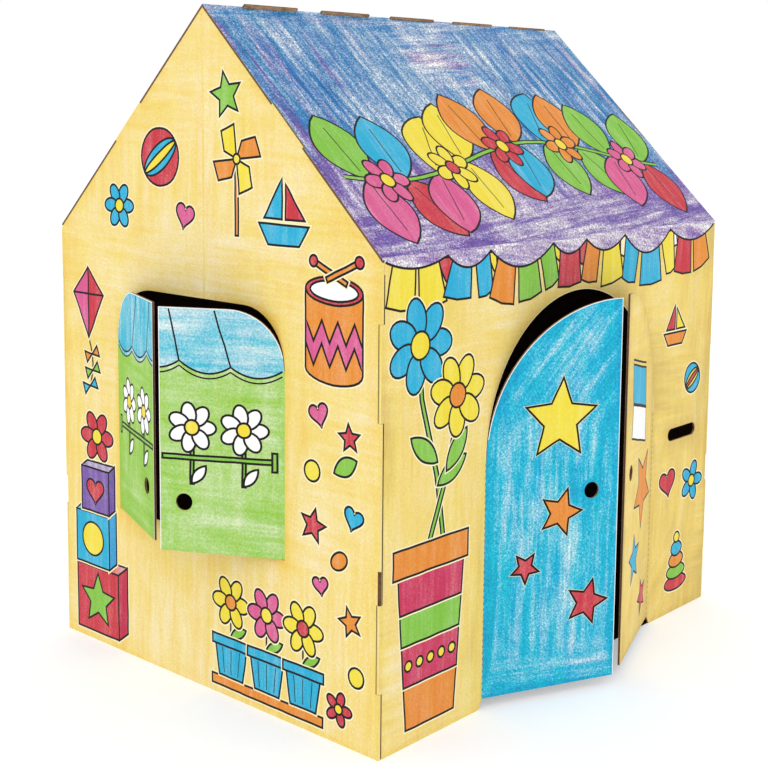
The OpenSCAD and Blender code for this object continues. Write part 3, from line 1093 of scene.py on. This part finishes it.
def back_roof_lay(places, edge):
    """The back slope has no patch of level strokes."""
    return roof_lay(places, edge, level_patch=0.0)


def veined_leaf(page, at, wax, turn, size=1.0):
    """A broad leaf with its middle vein."""
    page.figure((leaf_shape(at, size * leaf_length, size * leaf_width, turn), wax), rim=0)
    way = size * leaf_length * np.array((math.cos(turn), math.sin(turn)))
    page.line([np.array(at) + share * way for share in (0.12, 0.45, 0.8)], 0.0022)


roof_page = Page(roof_wax, roof_lay)
vine = [(u, garland_level + garland_swing * math.sin(7 * u + 0.9)) for u in np.linspace(-0.475, 0.475, 61)]
for i, wax in enumerate(lower_leaves):
    veined_leaf(roof_page, vine[3 + 6 * i], wax, -1.5 + 0.35 * math.sin(2.1 * i), 0.95)
for i, wax in enumerate(upper_leaves):
    veined_leaf(roof_page, vine[3 + 6 * i], wax, 1.45 + 0.3 * math.sin(1.7 * i + 1))
for width, wax in ((0.012, ink), (0.006, grass)):
    roof_page.area(band(sketched(vine, closed=False), width), wax)
for i, petal in enumerate((rose, lemon, cherry, tangerine, rose)):
    eye = cherry if petal is lemon else lemon
    flower(roof_page, vine[6 + 12 * i], 0.052, petal, eye, 6, 0.4 * i, rim=0)

back_wall_page = Page(wall_wax, wall_lay)
hems(back_wall_page)
back_roof_page = Page(roof_wax, back_roof_lay)
plain_page = Page(wall_wax, gable_lay)
print("roof with", len(roof_page.layers), "layers")

# %% [markdown]
# ## From pages to sheets
# A printed face has to end up as triangles that are wholly one colour. Painting by a mask would blur at
# the edges, and loose decals would float over the card. So every drawn line is cut into the face itself:
# Blender's constrained triangulation takes the outline of the face and all the lines at once. First we
# find the printed faces of a sheet: the large flat ones that look away from the middle of the house.

# %% Find the printed faces
largest_edge_face = 0.02
same_way = 0.99999
same_plane = 2e-5


class Panel:
    """A printed face with its outline and its own flat axes, right and up as seen from outside."""

    def __init__(self, faces, normal):
        self.faces = set(faces)
        self.normal = normal
        self.right = Vector((0, 0, 1)).cross(normal).normalized()
        self.up = normal.cross(self.right)
        centre = sum((f.calc_center_median() * f.calc_area() for f in faces), Vector()) / area_of(faces)
        wall_normal = Vector((round(normal.x), round(normal.y), 0))
        away = (centre - middle).dot(Vector((0, 0, 1)).cross(wall_normal))
        if normal.z > 0.3:
            self.name = "slope"
        elif max(abs(normal.x), abs(normal.y)) > 0.9999:
            self.name = "wall"
        else:
            self.name = "left_leaf" if away < 0 else "right_leaf"
        self.edges = [e for f in faces for e in f.edges if sum(g in self.faces for g in e.link_faces) == 1]
        self.origin = self.place_of_origin([v.co for e in self.edges for v in e.verts])

    def place_of_origin(self, corners):
        """Walls are measured from the middle of their foot, slopes from the eave, leaves from the crease."""
        start = middle + self.normal * self.normal.dot(corners[0] - middle)
        if self.name == "slope":
            start += self.up * ((eave - start.z) / self.up.z)
        if self.name.endswith("leaf"):
            reach = [(corner - start).dot(self.right) for corner in corners]
            start += self.right * (min(reach) if self.name == "left_leaf" else max(reach))
        return start

    def flat(self, point):
        return (point - self.origin).dot(self.right), (point - self.origin).dot(self.up)

    def solid(self, place):
        return self.origin + self.right * place[0] + self.up * place[1]


def area_of(faces):
    return sum(f.calc_area() for f in faces)


def printed_panels(sheet):
    """The panels of a sheet, by name."""
    planes = []
    for face in sheet.faces:
        height = face.normal.dot(face.verts[0].co)
        for normal, level, faces in planes:
            if normal.dot(face.normal) > same_way and abs(level - height) < same_plane:
                faces.append(face)
                break
        else:
            planes.append((face.normal.copy(), height, [face]))
    inside = middle + Vector((0, 0, eave / 2))
    panels = {}
    for normal, _, faces in planes:
        outward = normal.dot(faces[0].calc_center_median() - inside) > 0
        if outward and area_of(faces) > largest_edge_face:
            panel = Panel(faces, normal)
            panels[panel.name] = panel
    return panels


print("panels are looked for above", largest_edge_face, "square metres")

# %% [markdown]
# Two things have to be known before a face can be cut: which points lie inside an outline, and how far
# they are from an edge. These functions take all points at once, which is much faster in Python than
# one point at a time.


# %% Measure against outlines
def inside_edges(starts, ends, points):
    """Which points lie inside closed outlines, by counting the edges on their right."""
    x, y = points.T
    inside = np.zeros(len(points), bool)
    for (x0, y0), (x1, y1) in zip(starts, ends):
        if y0 != y1:
            inside ^= ((y0 > y) != (y1 > y)) & (x < (x1 - x0) * (y - y0) / (y1 - y0) + x0)
    return inside


def covers(outline, points):
    """Which points lie inside one outline. Only those in its box are tested."""
    inside = np.zeros(len(points), bool)
    close = ((points >= outline.min(0)) & (points <= outline.max(0))).all(1)
    inside[close] = inside_edges(outline, np.roll(outline, -1, 0), points[close])
    return inside


def distance_to(starts, ends, points):
    """How far each point is from the nearest of some straight edges."""
    nearest = np.full(len(points), np.inf)
    for a, b in zip(starts, ends):
        along = b - a
        t = np.clip(((points - a) @ along) / max(along @ along, 1e-12), 0, 1)
        nearest = np.minimum(nearest, np.linalg.norm(points - a - t[:, None] * along, axis=1))
    return nearest


in_star = covers(star((0, 0), 1.0), np.array(((0.0, 0.0), (0.0, -0.9))))
print("the middle of a star is covered:", in_star[0], "and the gap between its feet:", in_star[1])

# %% [markdown]
# Then the lines of the page are cut in. A loose grid of extra points lets the strokes of the ground vary
# softly over large empty fields. Each triangle takes the topmost layer that covers its middle, or the one
# after them all in the strip along a white edge.

# %% Cut a page into triangles
grid_step = 0.016
white_strip = 0.0014


def strip_lines(starts, ends, white):
    """A line beside each white edge, cut short where it would come too near to another edge."""
    for start, end in zip(starts[white], ends[white]):
        along = (end - start) / np.linalg.norm(end - start)
        inward = np.array((-along[1], along[0])) * white_strip
        if not inside_edges(starts, ends, ((start + end + inward) / 2)[None])[0]:
            inward = -inward
        strip = np.array((start + inward, end + inward))
        tight = distance_to(starts, ends, strip) < 0.9 * white_strip
        yield strip + np.outer(tight * (1, -1), along) * white_strip


def loose_grid(starts, ends):
    """Points all over a face, but not close to its edges."""
    across, up = (np.arange(starts[:, i].min(), starts[:, i].max(), grid_step) for i in (0, 1))
    grid = np.array([(u, v) for u in across for v in up])
    grid = grid[inside_edges(starts, ends, grid)]
    return grid[distance_to(starts, ends, grid) > grid_step / 6]


def cut_page(panel, page):
    """Cuts a page into its panel. Gives places with their old vertices, triangles with their layers, and the
    distance of each place to the panel's edge."""
    corners = list(dict.fromkeys(v for e in panel.edges for v in e.verts))
    number = {v: i for i, v in enumerate(corners)}
    points = [panel.flat(v.co) for v in corners]
    lines = [(number[e.verts[0]], number[e.verts[1]]) for e in panel.edges]
    starts, ends = (np.array([points[line[i]] for line in lines]) for i in (0, 1))
    white = page.white_edges(starts, ends) if page.white_edges else np.zeros(len(starts), bool)

    drawn = [(cut, closed) for _, _, cuts, closed in page.layers for cut in cuts]
    drawn += [(strip, False) for strip in strip_lines(starts, ends, white)]
    for cut, closed in drawn:
        first, count = len(points), len(cut)
        points += [tuple(p) for p in cut]
        lines += [(first + i, first + (i + 1) % count) for i in range(count if closed else count - 1)]
    points += [tuple(p) for p in loose_grid(starts, ends)]

    places, _, faces, origins, _, _ = delaunay_2d_cdt([Vector(p) for p in points], lines, [], 0, 1e-7)
    places = np.array([tuple(p) for p in places])
    faces = np.array([f for f in faces if len(f) == 3])
    a, b, c = (places[faces[:, i]] for i in range(3))
    area = (b[:, 0] - a[:, 0]) * (c[:, 1] - a[:, 1]) - (b[:, 1] - a[:, 1]) * (c[:, 0] - a[:, 0])
    faces[area < 0] = faces[area < 0][:, ::-1]
    centres = (a + b + c) / 3
    kept = inside_edges(starts, ends, centres)
    faces, centres = faces[kept], centres[kept]

    layer = np.full(len(faces), -1)
    for i, (outline, _, _, _) in enumerate(page.layers):
        layer[covers(outline, centres)] = i
    layer[distance_to(starts[white], ends[white], centres) < white_strip] = len(page.layers)
    old = [next((corners[i] for i in came if i < len(corners)), None) for came in origins]
    return places, old, faces, layer, distance_to(starts, ends, places)


print("extra points every", grid_step, "m, white strips", white_strip, "m wide")

# %% [markdown]
# Last, a sheet is put together again: the cut pages in place of its printed faces, and all its other
# faces as they were. Narrow faces that still belong to the print, such as the bend at the eave, and the
# ends of the corner tabs, which were coloured over, take crayon too. Everything else is kraft.

# %% Put a sheet together
crayon_slot, kraft_slot = 0, 1
deepest_print = 0.0032


def even_lay(wax):
    """The lay of a field that is the same all over."""
    return wax.load, wax.share, wax.crossed


class Sheet:
    """Collects the vertices, triangles and attributes of one dressed sheet."""

    def __init__(self):
        self.places, self.depths, self.faces = [], [], []
        self.waxes, self.slots, self.uvs, self.lays = [], [], [], []

    def vertex(self, place, depth):
        self.places.append(tuple(place))
        self.depths.append(depth)
        return len(self.places) - 1

    def face(self, corners, wax, slot, uvs, lays):
        if len(set(corners)) == 3:
            self.faces.append(tuple(corners))
            self.waxes.append(wax)
            self.slots.append(slot)
            self.uvs += uvs
            self.lays += lays

    def mesh(self, name):
        made = bpy.data.meshes.new(name)
        made.from_pydata(self.places, [], self.faces)
        made.materials.append(crayon)
        made.materials.append(kraft)
        made.polygons.foreach_set("material_index", self.slots)
        made.uv_layers.new(name="sheet").uv.foreach_set("vector", np.array(self.uvs, np.float32).ravel())

        def attribute(called, kind, domain, key, values):
            data = made.attributes.new(called, kind, domain).data
            data.foreach_set(key, np.array(values, np.float32).ravel())

        attribute("depth", "FLOAT", "POINT", "value", self.depths)
        attribute("lay", "FLOAT_VECTOR", "CORNER", "vector", self.lays)
        attribute("pigment", "FLOAT_COLOR", "FACE", "color", [(*w.pigment, 1) for w in self.waxes])
        attribute("second", "FLOAT_COLOR", "FACE", "color", [(*w.second, 1) for w in self.waxes])
        attribute("turn", "FLOAT", "FACE", "value", [w.turn for w in self.waxes])
        attribute("bite", "FLOAT", "FACE", "value", [w.bite for w in self.waxes])
        made.update()
        return made


def narrow_wax(face, panels):
    """The wax on a face that isn't a panel, or None for kraft."""
    centre = face.calc_center_median()
    facing = [p for p in panels.values() if face.normal.dot(p.normal) > 0.5]
    if any(-deepest_print < (centre - p.origin).dot(p.normal) < deepest_print for p in facing):
        return eave_wax if "slope" in panels else wall_wax
    off = centre - middle
    if "slope" in panels:
        flush = abs(face.normal.x) > 0.9 and abs(off.x) > half_length - board / 8
    else:
        flush = abs(face.normal.y) > 0.9 and abs(off.y) > half_depth - board / 8
    below_roof = all(v.co.z < eave - board for v in face.verts)
    return wall_wax if flush and below_roof else None


def dressed(node, pages):
    """Builds the dressed sheet of a node, and gives it with its panels and the plain mesh they belong to."""
    plain = bmesh.new()
    plain.from_mesh(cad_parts[node].data)
    bmesh.ops.remove_doubles(plain, verts=plain.verts, dist=1e-6)
    panels = printed_panels(plain)
    printed = {f for p in panels.values() for f in p.faces}
    on_print = {v for f in printed for v in f.verts}
    sheet = Sheet()
    known = {v: sheet.vertex(v.co, 0.0 if v in on_print else board) for v in plain.verts}

    for name, panel in panels.items():
        page = pages[name]
        places, old, faces, layer, edge = cut_page(panel, page)
        number = [known[v] if v else sheet.vertex(panel.solid(p), 0.0) for v, p in zip(old, places)]
        ground = page.lay(places, edge)
        strip_wax = bare if page.ground in (wall_wax, shaded_front_wax) else chalk
        waxes = [wax for _, wax, _, _ in page.layers] + [strip_wax]
        for corners, drawn in zip(faces, layer):
            wax = waxes[drawn] if drawn >= 0 else page.ground
            lays = [tuple(ground[i]) for i in corners] if drawn < 0 else [even_lay(wax)] * 3
            uvs = [tuple(places[i]) for i in corners]
            sheet.face([number[i] for i in corners], wax, crayon_slot, uvs, lays)

    for face in plain.faces:
        if face in printed:
            continue
        wax = narrow_wax(face, panels)
        loose = wax or wall_wax
        uvs = [(v.co.x - middle.x + v.co.y, v.co.z) for v in face.verts]
        slot = kraft_slot if wax is None else crayon_slot
        sheet.face([known[v] for v in face.verts], loose, slot, uvs, [even_lay(loose)] * 3)

    return placed(node + "_card", sheet.mesh(node + "_card")), panels, plain


print("faces up to", deepest_print, "m behind the print take crayon too")

# %% [markdown]
# Now the four sheets are dressed. Each new piece stands for its plain node and rides with the house. A
# closed mesh has exactly two faces at every edge, so we count those that have not.

# %% Dress the four sheets
sheet_pages = {
    "front_sheet": {
        "wall": front_page, "slope": roof_page, "left_leaf": left_door_page, "right_leaf": right_door_page,
    },
    "back_sheet": {"wall": back_wall_page, "slope": back_roof_page},
    "window_gable": {"wall": gable_page, "left_leaf": left_shutter_page, "right_leaf": right_shutter_page},
    "plain_gable": {"wall": plain_page},
}
dressed_panels = {}


def open_edges(mesh):
    faces_at = np.zeros(len(mesh.edges), int)
    np.add.at(faces_at, [loop.edge_index for loop in mesh.loops], 1)
    return int((faces_at != 2).sum())


for node, pages in sheet_pages.items():
    piece, panels, plain = dressed(node, pages)
    dressed_panels[node] = (panels, plain)
    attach(piece, "root")
    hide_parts(node)
    print(piece.name, len(piece.data.polygons), "triangles, open edges", open_edges(piece.data))

# %% [markdown]
# ## Flutes in the cut edges
# Between the liners of the board runs a wavy paper, the flutes. They stand upright in a sheet, so an edge
# shows the wave only where it crosses them: along the ridge, round the arches, over the door and
# shutters. Geometry Nodes turn plain edge lines into waves: each line is divided, pushed to and fro
# across the board by a sine of its place along the sheet, and given a thin square section.

# %% Build the flute tree
flute_pitch = 0.0072
flute_wire = 0.0006
flute_swing = 0.33
steps_per_flute = 6.0


def geometry_tree(name, sizes, finish):
    """A tree with a geometry input and a number input for each size. Gives its inputs and a way to end it."""
    tree = bpy.data.node_groups.new(name, "GeometryNodeTree")
    tree.interface.new_socket("Geometry", in_out="INPUT", socket_type="NodeSocketGeometry")
    for size in sizes:
        tree.interface.new_socket(size, in_out="INPUT", socket_type="NodeSocketFloat")
    tree.interface.new_socket("Geometry", in_out="OUTPUT", socket_type="NodeSocketGeometry")
    start = tree.nodes.new("NodeGroupInput")

    def end_with(geometry):
        real = out(tree, "GeometryNodeRealizeInstances", {0: geometry})
        worn = out(tree, "GeometryNodeSetMaterial", {"Geometry": real, "Material": finish})
        put(tree, "NodeGroupOutput", {0: worn})

    return tree, start.outputs, end_with


def spaced(tree, lines, step):
    """Points along loose edges, one at each step."""
    curve = out(tree, "GeometryNodeMeshToCurve", {0: lines})
    return out(tree, "GeometryNodeResampleCurve", {"Curve": curve, "Length": step}, mode="LENGTH")


def named(tree, name, kind):
    """What a mesh attribute says."""
    return out(tree, "GeometryNodeInputNamedAttribute", {"Name": name}, data_type=kind)


def flute_tree():
    tree, given, end_with = geometry_tree("flutes_along_edges", ("Pitch", "Swing", "Wire"), fluting)
    fine = spaced(tree, given["Geometry"], maths(tree, "DIVIDE", given["Pitch"], steps_per_flute))
    turns = maths(tree, "DIVIDE", named(tree, "along", "FLOAT"), given["Pitch"])
    wave = maths(tree, "SINE", times(tree, turns, 2 * math.pi))
    across = {0: named(tree, "across", "FLOAT_VECTOR"), "Scale": times(tree, wave, given["Swing"])}
    push = out(tree, "ShaderNodeVectorMath", across, operation="SCALE")
    waved = out(tree, "GeometryNodeSetPosition", {"Geometry": fine, "Offset": push})
    section = out(tree, "GeometryNodeCurvePrimitiveQuadrilateral", {0: given["Wire"], 1: given["Wire"]})
    swept = {"Curve": waved, "Profile Curve": section, "Fill Caps": True}
    end_with(out(tree, "GeometryNodeCurveToMesh", swept))
    return tree


def grown_by(tree, piece, sizes):
    """Runs a tree on a piece and keeps the result as a plain mesh."""
    modifier = piece.modifiers.new(tree.name, "NODES")
    modifier.node_group = tree
    for item in tree.interface.items_tree:
        if item.in_out == "INPUT" and item.name in sizes:
            modifier[item.identifier] = sizes[item.name]
    graph = bpy.context.evaluated_depsgraph_get()
    mesh = bpy.data.meshes.new_from_object(piece.evaluated_get(graph))
    piece.modifiers.remove(modifier)
    piece.data = mesh
    return piece


flutes_along_edges = flute_tree()
print("flute tree with", len(flutes_along_edges.nodes), "nodes")

# %% [markdown]
# The lines to grow them on come from the panels: each side of a printed face whose neighbour is a cut,
# and not a bend or a crease. Edges that stand on the floor are left plain, because nobody sees them.

# %% Grow the flutes
least_crossing = 0.25


def cut_lines(panels):
    """The ends, the way across the board and the places along the sheet of each edge that shows flutes."""
    for panel in panels.values():
        for edge in panel.edges:
            cut = next((f for f in edge.link_faces if f not in panel.faces), None)
            ends = [v.co for v in edge.verts]
            along = [panel.flat(p)[0] for p in ends]
            crossing = abs(along[1] - along[0]) / max(edge.calc_length(), 1e-9)
            on_floor = max(p.z for p in ends) < board / 4
            if cut and abs(cut.normal.dot(panel.normal)) < 0.3 and crossing > least_crossing and not on_floor:
                yield ends, -panel.normal, along


def edge_lines(name, lines):
    """A mesh of loose edges, one for each cut, in the middle of the board."""
    places, across, along, edges = [], [], [], []
    for ends, inward, reach in lines:
        edges.append((len(places), len(places) + 1))
        places += [tuple(p + inward * board / 2) for p in ends]
        across += [tuple(inward)] * 2
        along += reach
    made = bpy.data.meshes.new(name)
    made.from_pydata(places, edges, [])
    made.attributes.new("across", "FLOAT_VECTOR", "POINT").data.foreach_set("vector", np.ravel(across))
    made.attributes.new("along", "FLOAT", "POINT").data.foreach_set("value", np.ravel(along))
    return placed(name, made)


flute_sizes = {"Pitch": flute_pitch, "Swing": flute_swing * board, "Wire": flute_wire}
for node, (panels, plain) in dressed_panels.items():
    flutes = edge_lines(node + "_flutes", list(cut_lines(panels)))
    grown_by(flutes_along_edges, flutes, flute_sizes)
    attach(flutes, "root")
    print(flutes.name, len(flutes.data.polygons), "faces")

# %% [markdown]
# ## Perforated creases
# The doors swing on creases that were perforated to make them fold. The marks are short cuts in a row,
# dark with painted shade inside them. A tree places one small bead at each step along the crease lines and
# stretches it into a dash.

# %% Perforate the creases
dash_pitch = 0.011
dash_length = 0.0052
dash_width = 0.0011


def perforation_tree(finish):
    tree, given, end_with = geometry_tree("perforations", ("Pitch", "Length", "Width"), finish)
    spots = spaced(tree, given["Geometry"], given["Pitch"])
    bead = out(tree, "GeometryNodeMeshUVSphere", {"Segments": 8, "Rings": 5, "Radius": 0.5})
    width, length = given["Width"], given["Length"]
    size = out(tree, "ShaderNodeCombineXYZ", {0: width, 1: width, 2: length})
    end_with(out(tree, "GeometryNodeInstanceOnPoints", {"Points": spots, "Instance": bead, "Scale": size}))
    return tree


def perforation_finish():
    material, tree = new_finish("painted_shade_in_cuts")
    place = put(tree, "ShaderNodeTexCoord").outputs["Object"]
    torn = out(tree, "ShaderNodeTexNoise", {"Vector": place, "Scale": 700.0, "Detail": 2.0})
    # painted shade: dark browns for the shade inside the cuts
    colour = mixed(tree, torn, linear(40, 30, 24), linear(120, 92, 66))
    finish_with(tree, Base_Color=colour, Roughness=0.9, Specular_IOR_Level=0.1)
    return material


def crease_line(panel):
    """The two ends of a leaf's crease."""
    on_crease = [v.co for e in panel.edges for v in e.verts if abs(panel.flat(v.co)[0]) < 1e-4]
    inset = Vector((0, 0, dash_pitch / 2))
    return [min(on_crease, key=lambda p: p.z) + inset, max(on_crease, key=lambda p: p.z) - inset]


perforations = perforation_tree(perforation_finish())
leaves = [panel for panel in dressed_panels["front_sheet"][0].values() if panel.name.endswith("leaf")]
crease_ends = [tuple(end) for panel in leaves for end in crease_line(panel)]
mesh = bpy.data.meshes.new("door_perforations")
mesh.from_pydata(crease_ends, [(i, i + 1) for i in range(0, len(crease_ends), 2)], [])
marks = placed("door_perforations", mesh)
grown_by(perforations, marks, {"Pitch": dash_pitch, "Length": dash_length, "Width": dash_width})
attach(marks, "root")
print(marks.name, len(marks.data.polygons), "faces")

# %% [markdown]
# ## Free the plain meshes
# The dressed house must have the size of the plain one. Last, the plain meshes that the sheets were
# built from are freed.

# %% Free the plain meshes
for panels, plain in dressed_panels.values():
    plain.free()
